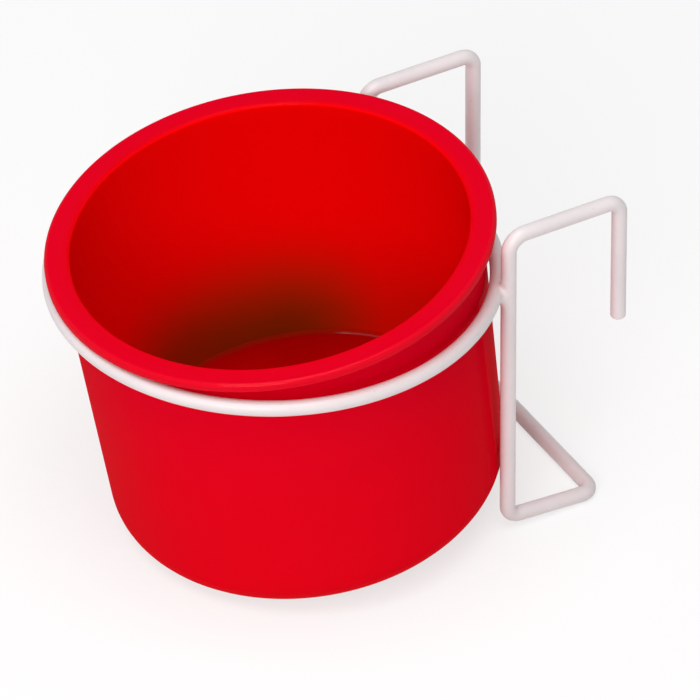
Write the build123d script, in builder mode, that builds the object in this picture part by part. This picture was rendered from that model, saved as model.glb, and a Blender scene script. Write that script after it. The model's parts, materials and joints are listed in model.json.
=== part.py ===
from build123d import *
import os
from math import atan2, cos, degrees, sin, sqrt, tan

# Seed cup in a bent wire holder that hooks over the wires of a cage, in millimetres
# X runs along the cross bar of the holder, +Y points to the cage and +Z points up
# The origin is under the middle of the whole object, on the surface that it stands on

# Wire of the holder
wire_diameter = 3.2
wire_end_rounding = 0.5

# Moulded cup, measured square to its own base
cup_height = 65.4
mouth_wall_radius = 42.0
wall_taper = 2.5
wall_thickness = 2.25
floor_thickness = 2.6
base_corner_radius = 7.5
foot_ring_width = 6.0
foot_recess_depth = 0.8
lip_width = 2.9
lip_thickness = 2.0
lip_top_rounding = 0.9
lip_under_rounding = 0.5
lip_root_rounding = 0.6
mouth_rounding = 0.9

# Play of the cup in its holder
ring_front_gap = 0.67
ring_rear_gap = 0.34
lip_seat_gap = 0.25
upright_gap = 0.3

# Hanger, bent from one wire with a hook at each end and a foot loop below
hook_spacing = 57.2
hook_depth = 25.3
hook_rise = 12.8
hook_drop = 28.6
foot_depth = 20.1
hook_front_bend = 4.8
hook_rear_bend = 2.8
heel_bend = 2.8
foot_bend = 3.0

# Butt weld that closes the ring
joint_length = 1.6
joint_upset = 0.12

# Welds between the ring and the uprights of the hanger
weld_set_down = 0.7
weld_width = 5.2
weld_depth = 3.8

# Sizes that follow from these
wire_radius = wire_diameter / 2
lip_radius = mouth_wall_radius + lip_width
lip_underside = cup_height - lip_thickness
base_radius = mouth_wall_radius - wall_taper
wall_slope = atan2(wall_taper, lip_underside)
half_spacing = hook_spacing / 2


def wall_radius(height):
    """The outer radius of the cup's wall at a height above its base."""
    return base_radius + height * tan(wall_slope)


# The cup leans in its ring until the front of its lip is on the ring, its wall is at the
# back of the ring and, low down, at the two uprights, which are welded to the ring. The
# ring just spans the leaning wall. The lean, in radians, settles in a few rounds, with
# the ring's centre at ring_height and ring_offset in the cup's frame.
seat_height = lip_underside - lip_seat_gap - wire_radius
low_reach = sqrt((wall_radius(base_corner_radius) + upright_gap + wire_radius) ** 2 - half_spacing**2)
lean = 0
ring_radius = wall_radius(seat_height) + ring_front_gap + wire_radius
for lean_round in range(12):
    front_radius = wall_radius(seat_height) + ring_front_gap + wire_radius
    rear_height = seat_height - 2 * ring_radius * sin(lean)
    rear_radius = wall_radius(rear_height) + ring_rear_gap + wire_radius
    ring_radius = (front_radius + rear_radius) / 2 / cos(lean)
    ring_offset = (rear_radius - front_radius) / 2
    ring_height = seat_height - ring_radius * sin(lean)
    upright_back = sqrt((ring_radius + wire_diameter - weld_set_down) ** 2 - half_spacing**2)
    low_play = ring_offset + upright_back / cos(lean) - low_reach
    lean = atan2(low_play, ring_height - base_corner_radius)

# The front of the base touches the surface that the foot loop stands on
corner_centre_radius = base_radius + base_corner_radius * (tan(wall_slope) - 1 / cos(wall_slope))
base_rise = corner_centre_radius * sin(lean) + base_corner_radius * (1 - cos(lean))
base_back = ring_height * sin(lean) - ring_offset * cos(lean)

# The whole object is centred between its foremost and rearmost points
lip_reach = (
    (lip_radius - lip_top_rounding) * cos(lean)
    + (cup_height - lip_top_rounding) * sin(lean)
    + lip_top_rounding
)
front_reach = max(lip_reach - base_back, ring_radius + wire_radius)
rear_reach = upright_back + hook_depth + wire_radius
ring_y = (front_reach - rear_reach) / 2
ring_z = base_rise + ring_offset * sin(lean) + ring_height * cos(lean)
ring_centre = Vector(0, ring_y, ring_z)
ring_axis = Axis(ring_centre, (0, 0, 1))
base_centre = Vector(0, ring_y + base_back, base_rise)
cup_section = Plane(base_centre, x_dir=(1, 0, 0), z_dir=(0, -cos(lean), -sin(lean)))
cup_axis = Axis(base_centre, cup_section.y_dir)

# Cup, turned from its half section, with a flat lip and a recess inside its foot ring
inner_base_radius = wall_radius(floor_thickness) - wall_thickness
foot_ring_inside = corner_centre_radius - foot_ring_width
cup_roundings = {
    (base_radius, 0): base_corner_radius,
    (mouth_wall_radius, lip_underside): lip_root_rounding,
    (lip_radius, lip_underside): lip_under_rounding,
    (lip_radius, cup_height): lip_top_rounding,
    (mouth_wall_radius - wall_thickness, cup_height): mouth_rounding,
    (inner_base_radius, floor_thickness): base_corner_radius - wall_thickness,
}
with BuildPart() as seed_cup:
    with BuildSketch(cup_section) as half_section:
        with BuildLine():
            Polyline(
                (0, foot_recess_depth),
                (foot_ring_inside - foot_recess_depth, foot_recess_depth),
                (foot_ring_inside, 0),
                (base_radius, 0),
                (mouth_wall_radius, lip_underside),
                (lip_radius, lip_underside),
                (lip_radius, cup_height),
                (mouth_wall_radius - wall_thickness, cup_height),
                (inner_base_radius, floor_thickness),
                (0, floor_thickness),
                close=True,
            )
        make_face()
        for corner, rounding in cup_roundings.items():
            fillet(half_section.vertices().sort_by_distance(corner)[0], rounding)
    revolve(axis=cup_axis)
seed_cup.part.label = "seed_cup"

# Hanger wire, from the tip of one hook down through the foot loop to the other tip
upright_y = ring_y + upright_back
hook_z = ring_z + hook_rise
half_route = [
    (upright_y + foot_depth, wire_radius),
    (upright_y, wire_radius),
    (upright_y, hook_z),
    (upright_y + hook_depth, hook_z),
    (upright_y + hook_depth, hook_z - hook_drop),
]
left_route = [(-half_spacing, y, z) for y, z in reversed(half_route)]
right_route = [(half_spacing, y, z) for y, z in half_route]
half_bends = [foot_bend, heel_bend, hook_front_bend, hook_rear_bend]
with BuildPart() as hanger_wire:
    with BuildLine():
        FilletPolyline(*left_route, *right_route, radius=[*reversed(half_bends), *half_bends])
    with BuildSketch(Plane(left_route[0], z_dir=(0, 0, 1))):
        Circle(wire_radius)
    sweep()
    fillet(hanger_wire.faces().filter_by(GeomType.PLANE).edges(), wire_end_rounding)
hanger_wire.part.label = "hanger_wire"

# Ring that carries the cup, closed at the back by a butt weld between its two ends and
# sunk a little into the uprights where it is welded to them
half_joint = joint_length / 2 / ring_radius


def ring_section(bearing):
    """The upright plane through the ring's axis, at a bearing in radians from +Y towards -X."""
    outward = Vector(-sin(bearing), cos(bearing), 0)
    return Plane(ring_centre, x_dir=outward, z_dir=outward.cross(Vector(0, 0, 1)))


with BuildPart() as holder_ring:
    with BuildSketch(ring_section(half_joint)):
        with Locations((ring_radius, 0)):
            Circle(wire_radius)
    revolve(axis=ring_axis, revolution_arc=360 - 2 * degrees(half_joint))
    add(hanger_wire.part, mode=Mode.SUBTRACT)
holder_ring.part.label = "holder_ring"

with BuildPart() as ring_joint:
    with BuildSketch(ring_section(-half_joint)):
        with Locations((ring_radius, 0)):
            Circle(wire_radius + joint_upset)
    revolve(axis=ring_axis, revolution_arc=2 * degrees(half_joint))
    fillet(ring_joint.faces().filter_by(GeomType.PLANE).edges(), joint_upset)
ring_joint.part.label = "ring_joint"


def weld(side):
    """The weld metal round the crossing of the ring and the upright on side -1 or 1."""
    outward = Vector(side * half_spacing, upright_back, 0).normalized()
    crossing = ring_centre + outward * (ring_radius + wire_radius - weld_set_down / 2)
    with BuildPart() as bead:
        with BuildSketch(Plane(crossing, x_dir=outward, z_dir=(0, 0, 1))):
            Ellipse(weld_depth / 2, weld_width / 2)
            Rectangle(weld_depth, weld_width, align=(Align.CENTER, Align.MAX), mode=Mode.SUBTRACT)
        revolve(axis=Axis(crossing, outward))
        add(holder_ring.part, mode=Mode.SUBTRACT)
        add(hanger_wire.part, mode=Mode.SUBTRACT)
    return bead


left_weld = weld(-1)
left_weld.part.label = "left_weld"
right_weld = weld(1)
right_weld.part.label = "right_weld"

os.makedirs("parts", exist_ok=True)
export_step(seed_cup.part, "parts/seed_cup.step")
export_step(holder_ring.part, "parts/holder_ring.step")
export_step(ring_joint.part, "parts/ring_joint.step")
export_step(hanger_wire.part, "parts/hanger_wire.step")
export_step(left_weld.part, "parts/left_weld.step")
export_step(right_weld.part, "parts/right_weld.step")
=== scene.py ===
"""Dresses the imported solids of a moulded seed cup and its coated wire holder.

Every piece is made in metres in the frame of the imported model: X runs along the cross bar
of the holder, +Y points to the cage that the hooks go over, and +Z is up.
"""

import json
import math

import bmesh
import bpy
from bpy.props import FloatProperty, FloatVectorProperty, IntProperty, PointerProperty
from mathutils import Matrix, Vector, noise


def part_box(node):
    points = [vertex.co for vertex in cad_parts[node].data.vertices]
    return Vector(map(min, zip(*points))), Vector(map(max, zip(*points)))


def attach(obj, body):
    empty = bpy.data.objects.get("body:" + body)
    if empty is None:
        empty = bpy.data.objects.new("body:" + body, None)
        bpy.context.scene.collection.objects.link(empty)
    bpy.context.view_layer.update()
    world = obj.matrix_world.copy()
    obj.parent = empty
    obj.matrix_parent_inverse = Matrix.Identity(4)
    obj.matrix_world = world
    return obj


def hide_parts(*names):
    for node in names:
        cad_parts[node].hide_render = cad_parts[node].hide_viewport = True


bl_info = {
    "name": "Seed cup in a wire holder",
    "version": (1, 0, 0),
    "blender": (4, 5, 0),
    "location": "3D Viewport > Sidebar > Seed Cup",
    "description": "Makes a moulded seed cup, its coated wire holder and a plain studio",
    "category": "Object",
}

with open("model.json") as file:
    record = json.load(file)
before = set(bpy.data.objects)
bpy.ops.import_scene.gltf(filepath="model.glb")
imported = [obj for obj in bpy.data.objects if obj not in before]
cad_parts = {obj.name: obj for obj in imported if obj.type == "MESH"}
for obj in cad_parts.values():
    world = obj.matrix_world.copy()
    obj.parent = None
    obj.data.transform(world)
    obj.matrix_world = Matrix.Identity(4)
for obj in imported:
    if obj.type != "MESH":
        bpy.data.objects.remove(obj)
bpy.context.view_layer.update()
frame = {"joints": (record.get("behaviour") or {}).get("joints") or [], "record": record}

# Radius of the coated wire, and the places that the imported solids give
wire_radius = 0.0016
hanger_low, hanger_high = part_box("hanger_wire")
ring_low, ring_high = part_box("holder_ring")
ring_radius = ring_high.x - wire_radius
ring_centre = Vector((0, ring_low.y + wire_radius + ring_radius, ring_low.z + wire_radius))
half_spacing = hanger_high.x - wire_radius
upright_y = hanger_low.y + wire_radius
hook_top = hanger_high.z - wire_radius
hook_back = hanger_high.y - wire_radius
cup_lift = Vector(frame["joints"][0]["axis"])
cup_lean = math.atan2(-cup_lift.y, cup_lift.z)
base_place = next(m for m in frame["record"]["mounts"] if m["name"] == "cup_base")["pos_m"]
base_centre = Vector((0, base_place[1], base_place[2]))


def length(name, description, default):
    """A length that a user may change, in metres."""
    return FloatProperty(
        name=name, description=description, default=default, min=0, precision=5, unit="LENGTH"
    )


def colour(name, description, default):
    """A colour that a user may change."""
    return FloatVectorProperty(
        name=name, description=description, default=default, min=0, max=1, size=3, subtype="COLOR"
    )


class SeedCupSizes(bpy.types.PropertyGroup):
    """Sizes of the moulded cup, measured square to its base."""

    height: length("Height", "From the foot ring to the face of the lip", 0.0654)
    mouth_wall_radius: length("Wall radius at the lip", "Outer radius of the wall", 0.042)
    wall_taper: length("Wall taper", "How much smaller the wall's radius is at the base", 0.0025)
    wall_thickness: length("Wall thickness", "Thickness of the side wall", 0.00225)
    inner_floor: length("Inner floor", "Height of the inner floor", 0.0064)
    inner_corner_radius: length("Inner corner", "Rounding at the inner floor", 0.001)
    base_corner_radius: length("Base corner", "Outer rounding of the base", 0.0075)
    foot_ring_width: length("Foot ring width", "Flat ring that the cup stands on", 0.006)
    foot_recess_depth: length("Foot recess", "Depth of the recess in the base", 0.0008)
    foot_ring_rounding: length("Foot ring rounding", "Rounding at the recess", 0.00025)
    lip_width: length("Lip width", "How far the lip stands out from the wall", 0.0029)
    lip_thickness: length("Lip thickness", "Thickness of the flat lip", 0.002)
    lip_top_rounding: length("Lip top rounding", "Upper outer edge of the lip", 0.0009)
    lip_under_rounding: length("Lip lower rounding", "Lower outer edge of the lip", 0.0005)
    lip_root_rounding: length("Lip root rounding", "Inner corner under the lip", 0.0006)
    mouth_rounding: length("Mouth rounding", "Inner edge of the mouth", 0.0009)
    gate_radius: length("Gate mark radius", "Mark of the moulding gate in the base", 0.0014)
    gate_height: length("Gate mark height", "Height of the gate mark", 0.0003)
    pin_distance: length("Pin distance", "Of the ejector pins from the axis", 0.017)
    pin_radius: length("Pin mark radius", "Mark of an ejector pin under the base", 0.003)
    facets: IntProperty(
        name="Facets", description="Faces round the cup", default=192, min=24, max=256
    )


class WireHolderSizes(bpy.types.PropertyGroup):
    """Sizes of the bent and welded wire holder."""

    wire_diameter: length("Wire diameter", "Over the coating", 2 * wire_radius)
    wire_end_rounding: length("Wire end rounding", "Rounding of the cut ends", 0.0005)
    hook_spacing: length("Hook spacing", "Between the two hooks' axes", 2 * half_spacing)
    hook_drop: length("Hook drop", "From the top of a hook to its tip", 0.0286)
    foot_depth: length("Foot loop depth", "From the uprights to the foot bar", 0.0201)
    hook_front_bend: length("Front hook bend", "Bend over the upright", 0.0037)
    hook_rear_bend: length("Rear hook bend", "Bend above the tip", 0.0028)
    heel_bend: length("Heel bend", "Bend at the foot of the upright", 0.0028)
    heel_rise: length("Heel rise", "From the floor to the underside of the heel", 0.0014)
    foot_bend: length("Foot bend", "Bend at the ends of the foot bar", 0.003)
    ring_radius: length("Ring radius", "To the middle of the ring's wire", ring_radius)
    joint_length: length("Butt weld length", "Of the weld that closes the ring", 0.0026)
    joint_upset: length("Butt weld bulge", "How far it stands out of the wire", 0.00012)
    weld_width: length("Weld width", "Across a weld at the uprights", 0.0052)
    weld_depth: length("Weld depth", "Of a weld, away from the cup", 0.0038)
    weld_fillet: length("Weld fillet", "Metal and coating drawn into the crevice", 0.0008)
    weld_sag: length("Weld sag", "How far the weld sits below the middle of the ring", 0.0009)
    coat_unevenness: length("Coating unevenness", "Most that the coating sinks", 0.00005)
    sides: IntProperty(name="Sides", description="Faces round a wire", default=28, min=8, max=64)


class SeedCupFinish(bpy.types.PropertyGroup):
    """Colours of the cup and of its holder."""

    plastic: colour("Plastic", "Moulded plastic of the cup", (0.82, 0.0003, 0.01))
    plastic_depth: colour("Deep plastic", "Where the plastic is denser", (0.77, 0.0002, 0.008))
    # Painted light: the inside of the cup gets a brighter red than the outside, standing in for
    # the light that falls there
    plastic_inside: colour("Inner plastic", "Where light shines through", (0.99, 0.0005, 0.0005))
    # Painted shade and sheen: the lip gets a darker, bluer copy of the red, standing in for the
    # light on its face and for its gloss
    plastic_lip: colour("Lip plastic", "Moulded plastic of the lip", (0.79, 0.0002, 0.015))
    # Painted shade: a dark film low on the inner wall, darkest on one side, standing in for the
    # shade there
    husk_film: colour("Husk film", "Dust and oil of the seeds, low inside", (0.035, 0.036, 0.0003))
    # Painted shade: a dark film over the inner floor, standing in for the shade at the bottom of
    # the cup
    floor_film: colour("Floor film", "Oil of the seeds on the inner floor", (0.05, 0.0003, 0.0003))
    scuffed: colour("Scuffed plastic", "Where the foot ring is rubbed", (0.8, 0.2, 0.18))
    coating: colour("Coating", "Coating of the wires", (0.83, 0.755, 0.765))
    coating_depth: colour("Thin coating", "Where the coating is thin", (0.74, 0.68, 0.69))
    grime: colour("Grime", "Dust that stays low on the wires", (0.42, 0.37, 0.33))
    floor: colour("Floor", "Floor and surroundings", (0.95, 0.95, 0.95))


class SeedCupStudio(bpy.types.PropertyGroup):
    """Camera and lights."""

    azimuth: FloatProperty(
        name="Azimuth", description="Of the camera", default=math.radians(60.52), unit="ROTATION"
    )
    elevation: FloatProperty(
        name="Elevation", description="Of the camera", default=math.radians(37.27), unit="ROTATION"
    )
    roll: FloatProperty(
        name="Roll", description="Of the camera", default=math.radians(-0.41), unit="ROTATION"
    )
    distance: length("Distance", "From the camera to the ring, along its axis", 2.0)
    aside: FloatProperty(
        name="Aside", description="Ring right of the middle", default=-0.01504, unit="LENGTH"
    )
    above: FloatProperty(
        name="Above", description="Ring above the middle", default=0.01542, unit="LENGTH"
    )
    lens: FloatProperty(name="Lens", description="In millimetres", default=521.2, unit="CAMERA")
    key: FloatProperty(name="Key lamp", description="In watts", default=5.8, min=0)
    top: FloatProperty(name="Top lamp", description="In watts", default=9.2, min=0)
    sky: FloatProperty(name="Sky", description="Strength of the surroundings", default=0.25, min=0)
    floor_glow: FloatProperty(
        name="Floor glow", description="White in the seen floor", default=0.68, min=0, max=1
    )


class Signal:
    """An output in a node tree. Python's operators on it add Math nodes."""

    def __init__(self, works, socket):
        self.works = works
        self.socket = socket

    def maths(self, operation, *values):
        """A Math node on numbers or signals."""
        return self.works.add("ShaderNodeMath", {"operation": operation}, dict(enumerate(values)))

    def __add__(self, other):
        return self.maths("ADD", self, other)

    def __radd__(self, other):
        return self.maths("ADD", other, self)

    def __sub__(self, other):
        return self.maths("SUBTRACT", self, other)

    def __rsub__(self, other):
        return self.maths("SUBTRACT", other, self)

    def __mul__(self, other):
        return self.maths("MULTIPLY", self, other)

    def __rmul__(self, other):
        return self.maths("MULTIPLY", other, self)

    def __truediv__(self, other):
        return self.maths("DIVIDE", self, other)

    def __rtruediv__(self, other):
        return self.maths("DIVIDE", other, self)

    def __pow__(self, other):
        return self.maths("POWER", self, other)

    def __neg__(self):
        return self.maths("MULTIPLY", self, -1.0)

    def __abs__(self):
        return self.maths("ABSOLUTE", self)

    def __lt__(self, other):
        return self.maths("LESS_THAN", self, other)

    def __gt__(self, other):
        return self.maths("GREATER_THAN", self, other)

    def part(self, name):
        """Another output of the same node."""
        return Signal(self.works, self.socket.node.outputs[name])


class Works:
    """Adds nodes to one tree."""

    def __init__(self, tree):
        self.tree = tree

    def add(self, kind, settings=None, values=None):
        """A node of a kind, its settings first, then its sockets' values and links."""
        node = self.tree.nodes.new(kind)
        for name, value in (settings or {}).items():
            if name == "items":
                while len(node.index_switch_items) < value:
                    node.index_switch_items.new()
            else:
                setattr(node, name, value)
        for name, value in (values or {}).items():
            socket = self.entry(node, name)
            if isinstance(value, Signal):
                self.tree.links.new(value.socket, socket)
            else:
                socket.default_value = value
        return Signal(self, next((s for s in node.outputs if s.enabled), None))

    def entry(self, node, name):
        """The input of a node by its place, or the one in use that has the name."""
        if isinstance(name, int):
            return node.inputs[name]
        return next(s for s in node.inputs if s.enabled and s.name == name)

    def point(self, x=0.0, y=0.0, z=0.0):
        """A vector from its three parts."""
        return self.add("ShaderNodeCombineXYZ", None, {"X": x, "Y": y, "Z": z})

    def vectors(self, operation, *values):
        """A Vector Math node on vectors or signals."""
        return self.add("ShaderNodeVectorMath", {"operation": operation}, dict(enumerate(values)))

    def ramp(self, value, start, end):
        """A soft step from 0 to 1 while the value goes from start to end."""
        return self.add(
            "ShaderNodeMapRange",
            {"interpolation_type": "SMOOTHSTEP"},
            {"Value": value, "From Min": start, "From Max": end},
        )

    def blend(self, share, first, second):
        """A colour between two colours."""
        return self.add(
            "ShaderNodeMix", {"data_type": "RGBA"}, {"Factor": share, "A": first, "B": second}
        )

    def pick(self, index, kind, values):
        """One of several values, by an index."""
        entries = {"Index": index, **{str(i): value for i, value in enumerate(values)}}
        settings = {"data_type": kind, "items": len(values)}
        return self.add("GeometryNodeIndexSwitch", settings, entries)

    def seen(self):
        """1 for a ray that the picture shows straight, in a gloss or through a piece, else 0."""
        rays = self.add("ShaderNodeLightPath")
        straight = rays.part("Is Camera Ray")
        shown = straight.maths("MAXIMUM", straight, rays.part("Is Glossy Ray"))
        return shown.maths("MAXIMUM", shown, rays.part("Is Transmission Ray"))

    def bumps(self, relief):
        """The normal of a surface with a relief in metres."""
        values = {"Strength": 1.0, "Distance": 1.0, "Height": relief}
        return self.add("ShaderNodeBump", None, values)

    def grain(self, place, scale, detail, roughness):
        """Fractal noise with features about one over scale long, from 0 to 1."""
        return self.add(
            "ShaderNodeTexNoise",
            None,
            {"Vector": place, "Scale": scale, "Detail": detail, "Roughness": roughness},
        )


socket_kinds = {
    "Material": "NodeSocketMaterial",
    "Facets": "NodeSocketInt",
    "Sides": "NodeSocketInt",
    "Place": "NodeSocketVector",
}


def shape_tree(name, sizes):
    """A new Geometry Nodes tree with named inputs, and the works that add to it."""
    tree = bpy.data.node_groups.new(name, "GeometryNodeTree")
    tree.is_modifier = True
    for size in sizes:
        kind = socket_kinds.get(size, "NodeSocketFloat")
        tree.interface.new_socket(size, in_out="INPUT", socket_type=kind)
    tree.interface.new_socket("Geometry", in_out="OUTPUT", socket_type="NodeSocketGeometry")
    works = Works(tree)
    entries = tree.nodes.new("NodeGroupInput")
    return works, {size: Signal(works, entries.outputs[size]) for size in sizes}


def end_tree(works, shape, material):
    """Ends a tree with real geometry that carries its material."""
    shape = works.add("GeometryNodeSetShadeSmooth", None, {"Geometry": shape})
    shape = works.add("GeometryNodeRealizeInstances", None, {"Geometry": shape})
    shape = works.add("GeometryNodeSetMaterial", None, {"Geometry": shape, "Material": material})
    works.add("NodeGroupOutput", None, {"Geometry": shape})


def grow(name, works, sizes):
    """The plain mesh that a tree makes from its sizes, on an object of its own."""
    piece = bpy.data.objects.new(name, bpy.data.meshes.new(name + "_start"))
    bpy.context.scene.collection.objects.link(piece)
    modifier = piece.modifiers.new("shape", "NODES")
    modifier.node_group = works.tree
    for entry in works.tree.interface.items_tree:
        if entry.in_out == "INPUT":
            modifier[entry.identifier] = sizes[entry.name]
    seen = piece.evaluated_get(bpy.context.evaluated_depsgraph_get())
    mesh = bpy.data.meshes.new_from_object(seen)
    piece.modifiers.remove(modifier)
    piece.data = mesh
    mesh.name = name
    if not len(mesh.polygons):
        raise RuntimeError(f"{name} came out empty")
    return piece


def settle(piece, body, slot, *nodes):
    """Puts a finished piece on its body in place of its solids; the slot is not used."""
    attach(piece, body)
    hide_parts(*nodes)


def rounded_line(works, corners, roundings, steps, spacing):
    """A line through corners with each corner rounded, and points at most spacing apart."""
    index = works.add("GeometryNodeInputIndex")
    place = works.pick(index, "VECTOR", corners)
    rounding = works.pick(index, "FLOAT", roundings)
    line = works.add("GeometryNodeMeshLine", None, {"Count": len(corners)})
    line = works.add("GeometryNodeSetPosition", None, {"Geometry": line, "Position": place})
    line = works.add(
        "GeometryNodeStoreNamedAttribute",
        {"data_type": "FLOAT", "domain": "POINT"},
        {"Geometry": line, "Name": "rounding", "Value": rounding},
    )
    line = works.add("GeometryNodeMeshToCurve", None, {"Mesh": line})
    rounding = works.add(
        "GeometryNodeInputNamedAttribute", {"data_type": "FLOAT"}, {"Name": "rounding"}
    )
    line = works.add(
        "GeometryNodeFilletCurve",
        {"mode": "POLY"},
        {"Curve": line, "Count": steps, "Radius": rounding, "Limit Radius": False},
    )
    return divided(works, line, spacing)


def divided(works, line, spacing):
    """A line whose long straight runs are divided, so that their shading stays flat."""
    place = works.add("GeometryNodeInputPosition")
    following = works.add("GeometryNodeInputIndex") + 1
    after = works.add(
        "GeometryNodeFieldAtIndex",
        {"data_type": "FLOAT_VECTOR", "domain": "POINT"},
        {"Value": place, "Index": following},
    )
    cuts = works.vectors("DISTANCE", place, after) / spacing
    return works.add("GeometryNodeSubdivideCurve", None, {"Curve": line, "Cuts": cuts})


def coated(works, line, radius, rounding, unevenness, sides, seed):
    """A wire along a line, its two ends rounded and its coating a little uneven."""
    end_cuts = 10
    lumps_per_metre = 140.0
    index = works.add("GeometryNodeInputIndex")
    run = works.add("GeometryNodeSplineParameter").part("Length")
    whole = works.add("GeometryNodeSplineLength")
    # The first and the last stretch get more points, which draw the rounded ends
    before_last = whole.part("Point Count") - 2.5
    near_end = (index < 0.5) + (index > before_last)
    line = works.add(
        "GeometryNodeSubdivideCurve", None, {"Curve": line, "Cuts": near_end * end_cuts}
    )
    from_end = run.maths("MINIMUM", run, whole - run)
    rise = rounding.maths("MAXIMUM", rounding - from_end, 0.0)
    sunk = rounding - (rounding * rounding - rise * rise) ** 0.5
    section = works.add(
        "GeometryNodeCurvePrimitiveCircle", None, {"Resolution": sides, "Radius": radius}
    )
    wire = works.add(
        "GeometryNodeCurveToMesh",
        None,
        {
            "Curve": line,
            "Profile Curve": section,
            "Scale": 1 - sunk / radius,
            "Fill Caps": True,
        },
    )
    place = works.add("GeometryNodeInputPosition")
    shifted = works.vectors("ADD", place, works.point(x=seed))
    sink = works.grain(shifted, lumps_per_metre, detail=2.0, roughness=0.45) * unevenness
    outward = works.add("GeometryNodeInputNormal")
    inward = works.add(
        "ShaderNodeVectorMath", {"operation": "SCALE"}, {0: outward, "Scale": -sink}
    )
    return works.add("GeometryNodeSetPosition", None, {"Geometry": wire, "Offset": inward})


def cup_tree():
    """The tree that turns the cup from its half section."""
    works, size = shape_tree(
        "turned_cup",
        [
            "Height",
            "Wall Radius",
            "Wall Taper",
            "Wall Thickness",
            "Floor Height",
            "Inner Corner",
            "Base Corner",
            "Foot Ring Width",
            "Foot Recess",
            "Foot Ring Rounding",
            "Lip Width",
            "Lip Thickness",
            "Lip Top Rounding",
            "Lip Lower Rounding",
            "Lip Root Rounding",
            "Mouth Rounding",
            "Gate Radius",
            "Gate Height",
            "Facets",
            "Lean",
            "Place",
            "Material",
        ],
    )
    height = size["Height"]
    wall = size["Wall Radius"]
    corner = size["Base Corner"]
    recess = size["Foot Recess"]
    floor = size["Floor Height"]
    gate = size["Gate Radius"]
    soft = size["Foot Ring Rounding"]
    lip_radius = wall + size["Lip Width"]
    lip_underside = height - size["Lip Thickness"]
    base = wall - size["Wall Taper"]
    slope = size["Wall Taper"] / lip_underside
    corner_centre = base + corner * (slope - (1 + slope * slope) ** 0.5)
    inner_base = base + floor * slope - size["Wall Thickness"]
    foot_inside = corner_centre - size["Foot Ring Width"]
    gate_face = recess - size["Gate Height"]
    gate_face_share = 0.8
    gate_rounding = 0.0001
    # The section turns on a rail of this radius, and its points on the axis are then merged
    hub = 0.001
    merging = 0.00001
    half_section = [
        (0.0, gate_face, 0.0),
        (gate * gate_face_share, gate_face, gate_rounding),
        (gate, recess, gate_rounding),
        (foot_inside - recess, recess, soft),
        (foot_inside, 0.0, soft),
        (base, 0.0, corner),
        (wall, lip_underside, size["Lip Root Rounding"]),
        (lip_radius, lip_underside, size["Lip Lower Rounding"]),
        (lip_radius, height, size["Lip Top Rounding"]),
        (wall - size["Wall Thickness"], height, size["Mouth Rounding"]),
        (inner_base, floor, size["Inner Corner"]),
        (0.0, floor, 0.0),
    ]
    corners = [works.point(radius - hub, -up) for radius, up, rounding in half_section]
    roundings = [rounding for radius, up, rounding in half_section]
    section = rounded_line(works, corners, roundings, steps=12, spacing=0.0026)
    rail = works.add(
        "GeometryNodeCurvePrimitiveCircle", None, {"Resolution": size["Facets"], "Radius": hub}
    )
    cup = works.add(
        "GeometryNodeCurveToMesh", None, {"Curve": rail, "Profile Curve": section}
    )
    cup = works.add("GeometryNodeMergeByDistance", None, {"Geometry": cup, "Distance": merging})
    turn = works.add("FunctionNodeEulerToRotation", None, {0: works.point(size["Lean"])})
    cup = works.add(
        "GeometryNodeTransform",
        None,
        {"Geometry": cup, "Translation": size["Place"], "Rotation": turn},
    )
    end_tree(works, cup, size["Material"])
    return works


def hanger_tree():
    """The tree that bends the hanger from one wire, from hook tip to hook tip."""
    works, size = shape_tree(
        "bent_hanger",
        [
            "Wire Diameter",
            "End Rounding",
            "Hook Spacing",
            "Hook Top",
            "Hook Drop",
            "Hook Back",
            "Upright Back",
            "Foot Depth",
            "Heel Rise",
            "Front Bend",
            "Rear Bend",
            "Heel Bend",
            "Foot Bend",
            "Unevenness",
            "Sides",
            "Material",
        ],
    )
    radius = size["Wire Diameter"] / 2
    across = size["Hook Spacing"] / 2
    upright = size["Upright Back"]
    half_route = [
        (upright + size["Foot Depth"], radius, size["Foot Bend"]),
        (upright, radius + size["Heel Rise"], size["Heel Bend"]),
        (upright, size["Hook Top"], size["Front Bend"]),
        (size["Hook Back"], size["Hook Top"], size["Rear Bend"]),
        (size["Hook Back"], size["Hook Top"] - size["Hook Drop"], 0.0),
    ]
    route = [(-across, *place) for place in reversed(half_route)]
    route += [(across, *place) for place in half_route]
    corners = [works.point(x, y, z) for x, y, z, bend in route]
    bends = [bend for x, y, z, bend in route]
    line = rounded_line(works, corners, bends, steps=14, spacing=0.0011)
    wire = coated(
        works, line, radius, size["End Rounding"], size["Unevenness"], size["Sides"], seed=0.0
    )
    end_tree(works, wire, size["Material"])
    return works


def ring_tree():
    """The tree that rolls a wire into part of a round, as for the ring and its butt weld."""
    works, size = shape_tree(
        "rolled_ring",
        [
            "Wire Diameter",
            "End Rounding",
            "Ring Radius",
            "Start",
            "Sweep",
            "Unevenness",
            "Facets",
            "Sides",
            "Place",
            "Material",
        ],
    )
    radius = size["Wire Diameter"] / 2
    line = works.add(
        "GeometryNodeCurveArc",
        {"mode": "RADIUS"},
        {
            "Resolution": size["Facets"],
            "Radius": size["Ring Radius"],
            "Start Angle": size["Start"],
            "Sweep Angle": size["Sweep"],
        },
    )
    wire = coated(
        works, line, radius, size["End Rounding"], size["Unevenness"], size["Sides"], seed=0.3
    )
    wire = works.add(
        "GeometryNodeTransform", None, {"Geometry": wire, "Translation": size["Place"]}
    )
    end_tree(works, wire, size["Material"])
    return works


def principled(works, values):
    """The shader of a finish, from the values of its sockets."""
    shader = works.add("ShaderNodeBsdfPrincipled", None, values)
    works.add("ShaderNodeOutputMaterial", None, {"Surface": shader})


def new_finish(name, shown):
    """A material without nodes yet, and the works that add to it."""
    material = bpy.data.materials.new(name)
    material.use_nodes = True
    material.node_tree.nodes.clear()
    material.diffuse_color = (*shown, 1.0)
    return material, Works(material.node_tree)


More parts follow.
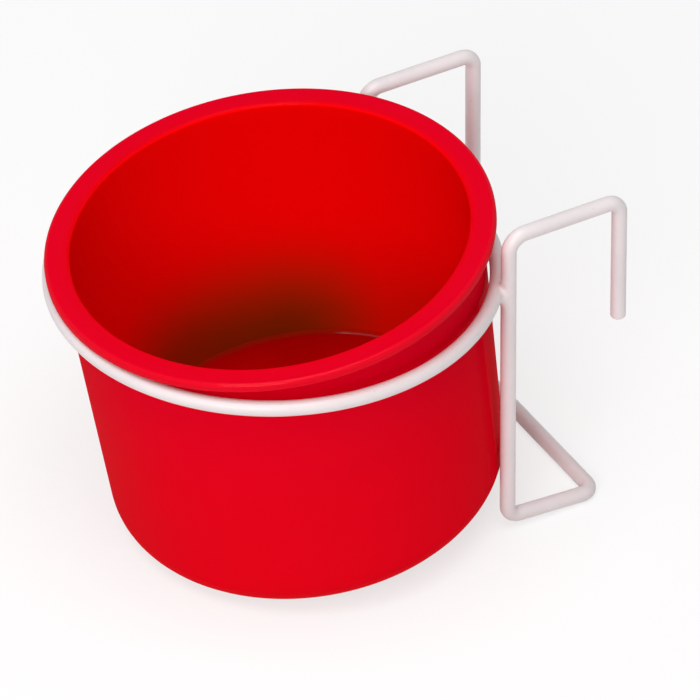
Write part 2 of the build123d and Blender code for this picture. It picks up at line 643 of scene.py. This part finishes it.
class CupPlaces:
    """Where a point of the cup's surface lies, measured square to the cup's own base."""

    def __init__(self, works, cup):
        margin = 0.0002
        place = works.add("ShaderNodeTexCoord").part("Object")
        self.square = works.add(
            "ShaderNodeMapping",
            {"vector_type": "TEXTURE"},
            {"Vector": place, "Location": base_centre, "Rotation": (cup_lean, 0, 0)},
        )
        axes = works.add("ShaderNodeSeparateXYZ", None, {"Vector": self.square})
        self.across, self.back, self.up = axes.part("X"), axes.part("Y"), axes.part("Z")
        self.out = (self.across * self.across + self.back * self.back) ** 0.5
        self.bearing = self.across.maths("ARCTAN2", self.back, self.across)

        slope = cup.wall_taper / (cup.height - cup.lip_thickness)
        inner_foot = cup.mouth_wall_radius - cup.wall_taper - cup.wall_thickness
        inner_wall = inner_foot + self.up * slope
        above_floor = self.up > cup.inner_floor - 2 * margin
        self.inside = (self.out < inner_wall + margin) * above_floor
        # From the edge of the inner floor: above 0 up the wall, below 0 in over the floor
        self.from_edge = self.up - cup.inner_floor - (inner_wall - self.out)

    def facing(self, bearing):
        """1 on the side at a bearing in degrees from +X, and -1 on the side opposite it."""
        turn = math.radians(bearing)
        return (self.across * math.cos(turn) + self.back * math.sin(turn)) / self.out


def seeded(works, at, finish, cloud, red):
    """The plastic's red with painted shade: darker low on the inner wall, most on one side, and
    over the inner floor.
    """
    # The painted shade is darkest on this side of the inner wall, in degrees from +X, and fades in
    # between these heights
    shaded_side = 173
    shade_top, shade_full = 0.04, 0.01
    patches = works.ramp(cloud, 0.3, 0.7)
    shaded_side_share = 0.12 + 0.58 * works.ramp(at.facing(shaded_side), 0.62, 0.98) + 0.1 * patches
    height = works.ramp(at.up, shade_top, shade_full) ** 1.5
    on_wall = works.ramp(at.from_edge, -0.0016, 0.0014)
    on_floor = works.ramp(at.from_edge, 0.0016, -0.0004)
    # Painted shade low on the inner wall
    darkening = at.inside * height * on_wall * shaded_side_share
    # Painted shade over the inner floor
    floor_shade = at.inside * on_floor * (0.62 + 0.1 * patches)
    darkened = works.blend(darkening, red, (*finish.husk_film, 1))
    return works.blend(floor_shade, darkened, (*finish.floor_film, 1))


def parting_line(works, at, cup):
    """A fine line round the edge of the lip, where the two halves of the mould meet."""
    middle = cup.height - cup.lip_thickness / 2
    edge_start = cup.mouth_wall_radius + 0.7 * cup.lip_width
    return works.ramp(abs(at.up - middle), 0.00009, 0.00002) * (at.out > edge_start)


def pin_marks(works, at, cup):
    """The rings that three ejector pins leave in the recess under the base."""
    third = 2 * math.pi / 3
    turned = at.bearing.maths("WRAP", at.bearing, third / 2, -third / 2)
    across = at.out * turned.maths("SINE", turned)
    along = at.out * turned.maths("COSINE", turned) - cup.pin_distance
    from_pin = (across * across + along * along) ** 0.5
    ring = works.ramp(abs(from_pin - cup.pin_radius), 0.00018, 0.00004)
    from_recess = at.up - cup.foot_recess_depth
    return ring * (from_recess < 0.0003) * (from_recess > -0.0001)


def plastic_gloss(works, at, cup, cloud):
    """A faint gloss, stronger on the edge of the lip and in one stretch of the inner corner."""
    lip_radius = cup.mouth_wall_radius + cup.lip_width
    edge = works.ramp(at.out, lip_radius - 0.001, lip_radius - 0.0004)
    corner = at.inside * (abs(at.from_edge) < cup.inner_corner_radius)
    glint_side = 124
    glint = corner * works.ramp(at.facing(glint_side), 0.95, 0.99)
    plain = (0.02 + 0.015 * works.ramp(cloud, 0.3, 0.7)) * (1 - corner * 0.75)
    return plain + edge * 0.1 + glint * 0.55


def moulded_plastic(finish, cup):
    """Red plastic with the marks of its mould and scuffs where it stands, with painted light
    inside, painted shade low inside, and painted shade and sheen on the lip.
    """
    material, works = new_finish("moulded_red_plastic", finish.plastic)
    at = CupPlaces(works, cup)
    cloud = works.grain(at.square, scale=26.0, detail=3.0, roughness=0.5)
    speckle = works.grain(at.square, scale=900.0, detail=2.0, roughness=0.6)
    peel = works.grain(at.square, scale=1500.0, detail=2.0, roughness=0.5)
    sway = works.grain(at.square, scale=38.0, detail=1.0, roughness=0.4)
    # Fine marks that run round the cup, as the mould was turned
    turned = works.point(at.bearing * 0.9, at.out * 900.0, at.up * 900.0)
    round_marks = works.grain(turned, scale=1.0, detail=3.0, roughness=0.6)
    # Scuffs on the lowest millimetre, drawn out the same way
    dragged = works.point(at.bearing * 3.0, at.out * 2200.0, at.up * 400.0)
    scuff_lines = works.grain(dragged, scale=1.0, detail=4.0, roughness=0.6)
    scuffs = works.ramp(at.up, 0.0011, 0.0001) * works.ramp(scuff_lines, 0.5, 0.68)

    depth = works.ramp(cloud, 0.35, 0.7) * 0.55 + works.ramp(speckle, 0.45, 0.75) * 0.12
    red = works.blend(depth, (*finish.plastic, 1), (*finish.plastic_depth, 1))
    # Painted shade and sheen: a darker, bluer red on the lip
    lip_start = cup.mouth_wall_radius - 0.0016
    lip_painted_share = works.ramp(at.out, lip_start, cup.mouth_wall_radius)
    red = works.blend(lip_painted_share, red, (*finish.plastic_lip, 1))
    # Painted light: a brighter red over the inside of the cup
    red = works.blend(at.inside * 0.96, red, (*finish.plastic_inside, 1))
    # Painted shade low on the inner wall and over the inner floor
    inner_shaded = seeded(works, at, finish, cloud, red)
    worn = works.blend(scuffs * 0.16, inner_shaded, (*finish.scuffed, 1))

    lip_face = works.ramp(at.up, cup.height - 0.0012, cup.height - 0.0002)
    roughness = 0.29 + works.ramp(cloud, 0.3, 0.75) * 0.07
    roughness = roughness + works.ramp(round_marks, 0.5, 0.8) * 0.08
    roughness = roughness + at.inside * 0.06 + scuffs * 0.3
    roughness = roughness + lip_face * works.ramp(speckle, 0.4, 0.8) * 0.08

    sway_height, peel_height, mark_height = 0.00004, 0.0000022, 0.0000012
    parting_height, pin_depth, scuff_depth = 0.00003, 0.00005, 0.000012
    relief = sway * sway_height + peel * peel_height + round_marks * mark_height
    relief = relief + parting_line(works, at, cup) * parting_height
    relief = relief - pin_marks(works, at, cup) * pin_depth - scuffs * scuff_depth
    principled(
        works,
        {
            "Base Color": worn,
            "Roughness": roughness,
            "Normal": works.bumps(relief),
            "Coat Weight": plastic_gloss(works, at, cup, cloud),
            "Coat Roughness": 0.1,
            "Specular IOR Level": 0.0,
        },
    )
    return material


def wire_coating(finish):
    """White coating baked on wire, a little uneven, with dust that stays low down."""
    material, works = new_finish("white_wire_coating", finish.coating)
    place = works.add("ShaderNodeTexCoord").part("Object")
    up = works.add("ShaderNodeSeparateXYZ", None, {"Vector": place}).part("Z")
    cloud = works.grain(place, scale=60.0, detail=3.0, roughness=0.55)
    peel = works.grain(place, scale=700.0, detail=2.0, roughness=0.5)
    grit = works.grain(place, scale=2600.0, detail=2.0, roughness=0.6)
    pits = works.add(
        "ShaderNodeTexVoronoi", {"feature": "F1"}, {"Vector": place, "Scale": 420.0}
    )
    specks = works.ramp(pits, 0.11, 0.05) * works.ramp(cloud, 0.45, 0.6)
    low = works.ramp(up, 0.006, 0.0002)
    darkening = low * works.ramp(cloud, 0.35, 0.7) * 0.16 + specks * 0.28

    thin = works.ramp(cloud, 0.35, 0.72) * 0.5 + works.ramp(peel, 0.5, 0.8) * 0.15
    white = works.blend(thin, (*finish.coating, 1), (*finish.coating_depth, 1))
    darkened = works.blend(darkening, white, (*finish.grime, 1))
    roughness = 0.36 + works.ramp(cloud, 0.3, 0.7) * 0.1 + darkening * 0.5
    roughness = roughness + works.ramp(grit, 0.5, 0.8) * 0.05
    peel_height, grit_height, speck_depth = 0.00001, 0.0000015, 0.00001
    relief = peel * peel_height + grit * grit_height - specks * speck_depth
    principled(
        works,
        {
            "Base Color": darkened,
            "Roughness": roughness,
            "Normal": works.bumps(relief),
            "Coat Weight": 0.15,
            "Coat Roughness": 0.2,
        },
    )
    return material


def plain_floor(finish, studio):
    """Pale, even floor, lifted towards white where it is seen, so that its shadows stay soft."""
    material, works = new_finish("pale_floor", finish.floor)
    place = works.add("ShaderNodeTexCoord").part("Object")
    cloud = works.grain(place, scale=3.0, detail=2.0, roughness=0.5)
    deepest_share = 0.985
    darker = [deepest_share * level for level in finish.floor]
    tone = works.blend(cloud, (*finish.floor, 1), (*darker, 1))
    paper = works.add("ShaderNodeBsdfDiffuse", None, {"Color": tone, "Roughness": 0.5})
    glow = works.add("ShaderNodeEmission", None, {"Color": (1, 1, 1, 1), "Strength": 1.0})
    share = studio.floor_glow * works.seen()
    both = works.add("ShaderNodeMixShader", None, {0: share, 1: paper, 2: glow})
    works.add("ShaderNodeOutputMaterial", None, {"Surface": both})
    return material


def finish_named(name, make, *parts):
    """A material by its name, made the first time that it is asked for."""
    return bpy.data.materials.get(name) or make(*parts)


class SEEDCUP_OT_mould_cup(bpy.types.Operator):
    """Turn the moulded cup from its half section"""

    bl_idname = "seed_cup.mould_cup"
    bl_label = "Mould the cup"
    bl_options = {"REGISTER", "UNDO"}

    def execute(self, context):
        cup = context.scene.seed_cup_sizes
        finish = context.scene.seed_cup_finish
        piece = grow(
            "moulded_cup",
            cup_tree(),
            {
                "Height": cup.height,
                "Wall Radius": cup.mouth_wall_radius,
                "Wall Taper": cup.wall_taper,
                "Wall Thickness": cup.wall_thickness,
                "Floor Height": cup.inner_floor,
                "Inner Corner": cup.inner_corner_radius,
                "Base Corner": cup.base_corner_radius,
                "Foot Ring Width": cup.foot_ring_width,
                "Foot Recess": cup.foot_recess_depth,
                "Foot Ring Rounding": cup.foot_ring_rounding,
                "Lip Width": cup.lip_width,
                "Lip Thickness": cup.lip_thickness,
                "Lip Top Rounding": cup.lip_top_rounding,
                "Lip Lower Rounding": cup.lip_under_rounding,
                "Lip Root Rounding": cup.lip_root_rounding,
                "Mouth Rounding": cup.mouth_rounding,
                "Gate Radius": cup.gate_radius,
                "Gate Height": cup.gate_height,
                "Facets": cup.facets,
                "Lean": cup_lean,
                "Place": base_centre,
                "Material": finish_named("moulded_red_plastic", moulded_plastic, finish, cup),
            },
        )
        settle(piece, "cup", "red_plastic", "seed_cup")
        return {"FINISHED"}


class SEEDCUP_OT_bend_hanger(bpy.types.Operator):
    """Bend the hanger from one coated wire"""

    bl_idname = "seed_cup.bend_hanger"
    bl_label = "Bend the hanger"
    bl_options = {"REGISTER", "UNDO"}

    def execute(self, context):
        holder = context.scene.wire_holder_sizes
        finish = context.scene.seed_cup_finish
        piece = grow(
            "coated_hanger",
            hanger_tree(),
            {
                "Wire Diameter": holder.wire_diameter,
                "End Rounding": holder.wire_end_rounding,
                "Hook Spacing": holder.hook_spacing,
                "Hook Top": hook_top,
                "Hook Drop": holder.hook_drop,
                "Hook Back": hook_back,
                "Upright Back": upright_y,
                "Foot Depth": holder.foot_depth,
                "Heel Rise": holder.heel_rise,
                "Front Bend": holder.hook_front_bend,
                "Rear Bend": holder.hook_rear_bend,
                "Heel Bend": holder.heel_bend,
                "Foot Bend": holder.foot_bend,
                "Unevenness": holder.coat_unevenness,
                "Sides": holder.sides,
                "Material": finish_named("white_wire_coating", wire_coating, finish),
            },
        )
        settle(piece, "holder", "white_coated_wire", "hanger_wire")
        return {"FINISHED"}


class SEEDCUP_OT_roll_ring(bpy.types.Operator):
    """Roll the ring that carries the cup, and the butt weld that closes it"""

    bl_idname = "seed_cup.roll_ring"
    bl_label = "Roll the ring"
    bl_options = {"REGISTER", "UNDO"}

    def execute(self, context):
        holder = context.scene.wire_holder_sizes
        finish = context.scene.seed_cup_finish
        coating = finish_named("white_wire_coating", wire_coating, finish)
        works = ring_tree()
        half_joint = holder.joint_length / 2 / holder.ring_radius
        # The ring's two ends reach a little into the weld
        gap = 0.6 * half_joint
        ring_edge, weld_edge = 0.00005, 0.0003
        sizes = {
            "Wire Diameter": holder.wire_diameter,
            "End Rounding": ring_edge,
            "Ring Radius": holder.ring_radius,
            "Start": math.pi / 2 + gap,
            "Sweep": 2 * math.pi - 2 * gap,
            "Unevenness": holder.coat_unevenness,
            "Facets": 240,
            "Sides": holder.sides,
            "Place": ring_centre,
            "Material": coating,
        }
        ring = grow("coated_ring", works, sizes)
        settle(ring, "holder", "white_coated_wire", "holder_ring")
        sizes.update(
            {
                "Wire Diameter": holder.wire_diameter + 2 * holder.joint_upset,
                "End Rounding": weld_edge,
                "Start": math.pi / 2 - half_joint,
                "Sweep": 2 * half_joint,
                "Facets": 12,
            }
        )
        joint = grow("ring_butt_weld", works, sizes)
        settle(joint, "holder", "white_coated_wire", "ring_joint")
        return {"FINISHED"}


def weld_bead(name, side, holder, material):
    """The metal and coating drawn round the crossing of the ring and one upright."""
    upright = Vector((side * half_spacing, upright_y - ring_centre.y, 0))
    reach = upright.length
    outward = upright.normalized()
    along = Vector((0, 0, 1)).cross(outward)
    centre = outward * (holder.ring_radius + reach) / 2 - Vector((0, 0, holder.weld_sag))
    radius = holder.wire_diameter / 2
    half_depth = holder.weld_depth / 2
    half_width = holder.weld_width / 2
    # Away from the weld the bead lies just under the wires' own surfaces
    dip = 0.00003
    nugget_inset, nugget_fillet = 0.0004, 0.0008
    lumps_per_metre, lump_height, lump_fade = 700, 0.00006, 6
    reach_limit = 1.75 * half_width
    shift = Vector((side * 7.3, 2.1, 0))

    def joined(first, second, fillet):
        """Two surfaces joined, with a fillet where they meet."""
        overlap = max(fillet - abs(first - second), 0) / fillet
        return min(first, second) - overlap * overlap * fillet / 4

    def outside(point):
        """How far a point is outside the weld, the ring's centre being the origin."""
        flat = math.hypot(point.x, point.y)
        from_ring = math.hypot(flat - holder.ring_radius, point.z) - radius + dip
        from_upright = math.hypot(point.x - upright.x, point.y - upright.y) - radius + dip
        off = point - centre
        depth, width, height = off.dot(outward), off.dot(along), off.z
        nugget = math.sqrt(
            (depth / half_depth) ** 2 + (width / half_width) ** 2 + (height / half_width) ** 2
        )
        from_nugget = (nugget - 1) * half_depth + nugget_inset
        lumps = noise.noise(point * lumps_per_metre + shift) * lump_height
        solid = joined(from_ring, from_upright, holder.weld_fillet)
        solid = joined(solid, from_nugget, nugget_fillet)
        solid += lumps * math.exp(-(nugget**4) / lump_fade)
        return max(solid, off.length - reach_limit)

    shape = bmesh.new()
    bmesh.ops.create_icosphere(shape, subdivisions=6, radius=1)
    search_reach, halvings = 0.01, 24
    for vertex in shape.verts:
        heading = vertex.co.normalized()
        near, far = 0.0, search_reach
        for halving in range(halvings):
            middle = (near + far) / 2
            if outside(centre + heading * middle) < 0:
                near = middle
            else:
                far = middle
        vertex.co = ring_centre + centre + heading * near
    for face in shape.faces:
        face.smooth = True
    mesh = bpy.data.meshes.new(name)
    shape.to_mesh(mesh)
    shape.free()
    mesh.materials.append(material)
    piece = bpy.data.objects.new(name, mesh)
    bpy.context.scene.collection.objects.link(piece)
    return piece


class SEEDCUP_OT_weld_ring(bpy.types.Operator):
    """Weld the ring to the two uprights of the hanger"""

    bl_idname = "seed_cup.weld_ring"
    bl_label = "Weld the ring to the hanger"
    bl_options = {"REGISTER", "UNDO"}

    def execute(self, context):
        holder = context.scene.wire_holder_sizes
        finish = context.scene.seed_cup_finish
        coating = finish_named("white_wire_coating", wire_coating, finish)
        for side, word in ((-1, "left"), (1, "right")):
            piece = weld_bead(f"{word}_weld_bead", side, holder, coating)
            settle(piece, "holder", "white_coated_wire", f"{word}_weld")
        return {"FINISHED"}


def lamp(name, place, size, watts):
    """A square soft lamp at a place, turned to the middle of the cup."""
    middle = Vector((0, 0, 0.04))
    light = bpy.data.lights.new(name, "AREA")
    light.shape = "SQUARE"
    light.size = size
    light.energy = watts
    holder = bpy.data.objects.new(name, light)
    heading = (middle - Vector(place)).to_track_quat("-Z", "Y")
    holder.matrix_world = Matrix.Translation(place) @ heading.to_matrix().to_4x4()
    bpy.context.scene.collection.objects.link(holder)


def white_surroundings(strength):
    """Soft light from all round that the camera and the gloss see as plain white."""
    world = bpy.data.worlds.new("white_surroundings")
    world.use_nodes = True
    world.node_tree.nodes.clear()
    works = Works(world.node_tree)
    level = strength + (1 - strength) * works.seen()
    glow = works.add(
        "ShaderNodeBackground", None, {"Color": (1, 1, 1, 1), "Strength": level}
    )
    works.add("ShaderNodeOutputWorld", None, {"Surface": glow})
    bpy.context.scene.world = world


def lay_floor(finish, studio):
    """The floor under the piece, wide enough to fill the view."""
    half_size = 3.0
    shape = bmesh.new()
    bmesh.ops.create_grid(shape, x_segments=8, y_segments=8, size=half_size)
    mesh = bpy.data.meshes.new("floor")
    shape.to_mesh(mesh)
    shape.free()
    mesh.materials.append(plain_floor(finish, studio))
    floor = bpy.data.objects.new("floor", mesh)
    bpy.context.scene.collection.objects.link(floor)


def aim_camera(studio):
    """The camera, turned round the ring by its angles and shifted along its own picture."""
    level = math.cos(studio.elevation)
    back = Vector(
        (
            math.sin(studio.azimuth) * level,
            -math.cos(studio.azimuth) * level,
            math.sin(studio.elevation),
        )
    )
    right = (-back).cross(Vector((0, 0, 1))).normalized()
    above = right.cross(-back)
    turn_right = math.cos(studio.roll) * right + math.sin(studio.roll) * above
    turn_above = math.cos(studio.roll) * above - math.sin(studio.roll) * right
    place = ring_centre + back * studio.distance
    place -= turn_right * studio.aside + turn_above * studio.above
    camera = bpy.data.objects.new("camera", bpy.data.cameras.new("camera"))
    camera.data.lens = studio.lens
    camera.data.sensor_width = 36
    turning = Matrix((turn_right, turn_above, back)).transposed()
    camera.matrix_world = Matrix.Translation(place) @ turning.to_4x4()
    bpy.context.scene.collection.objects.link(camera)
    bpy.context.scene.camera = camera


class SEEDCUP_OT_set_stage(bpy.types.Operator):
    """Lay the floor and set up the camera, the lamps and the surroundings"""

    bl_idname = "seed_cup.set_stage"
    bl_label = "Set the stage"
    bl_options = {"REGISTER", "UNDO"}

    def execute(self, context):
        studio = context.scene.seed_cup_studio
        lay_floor(context.scene.seed_cup_finish, studio)
        aim_camera(studio)
        lamp("key_lamp", place=(0.76, -0.78, 0.66), size=0.6, watts=studio.key)
        lamp("top_lamp", place=(0.25, -0.25, 1.2), size=0.9, watts=studio.top)
        white_surroundings(studio.sky)
        context.scene.view_settings.view_transform = "Standard"
        return {"FINISHED"}


class SEEDCUP_PT_pieces(bpy.types.Panel):
    """Buttons that make the pieces of the seed cup"""

    bl_label = "Seed cup"
    bl_idname = "SEEDCUP_PT_pieces"
    bl_space_type = "VIEW_3D"
    bl_region_type = "UI"
    bl_category = "Seed Cup"

    def draw(self, context):
        column = self.layout.column(align=True)
        for operator in operators:
            column.operator(operator.bl_idname)


operators = (
    SEEDCUP_OT_set_stage,
    SEEDCUP_OT_mould_cup,
    SEEDCUP_OT_bend_hanger,
    SEEDCUP_OT_roll_ring,
    SEEDCUP_OT_weld_ring,
)
groups = {
    "seed_cup_sizes": SeedCupSizes,
    "wire_holder_sizes": WireHolderSizes,
    "seed_cup_finish": SeedCupFinish,
    "seed_cup_studio": SeedCupStudio,
}


def register():
    for kind in (*groups.values(), *operators, SEEDCUP_PT_pieces):
        bpy.utils.register_class(kind)
    for name, kind in groups.items():
        setattr(bpy.types.Scene, name, PointerProperty(type=kind))


def unregister():
    for name in groups:
        delattr(bpy.types.Scene, name)
    for kind in reversed((*groups.values(), *operators, SEEDCUP_PT_pieces)):
        bpy.utils.unregister_class(kind)


def main():
    register()
    bpy.ops.seed_cup.set_stage()
    bpy.ops.seed_cup.mould_cup()
    bpy.ops.seed_cup.bend_hanger()
    bpy.ops.seed_cup.roll_ring()
    bpy.ops.seed_cup.weld_ring()


if __name__ == "__main__":
    main()
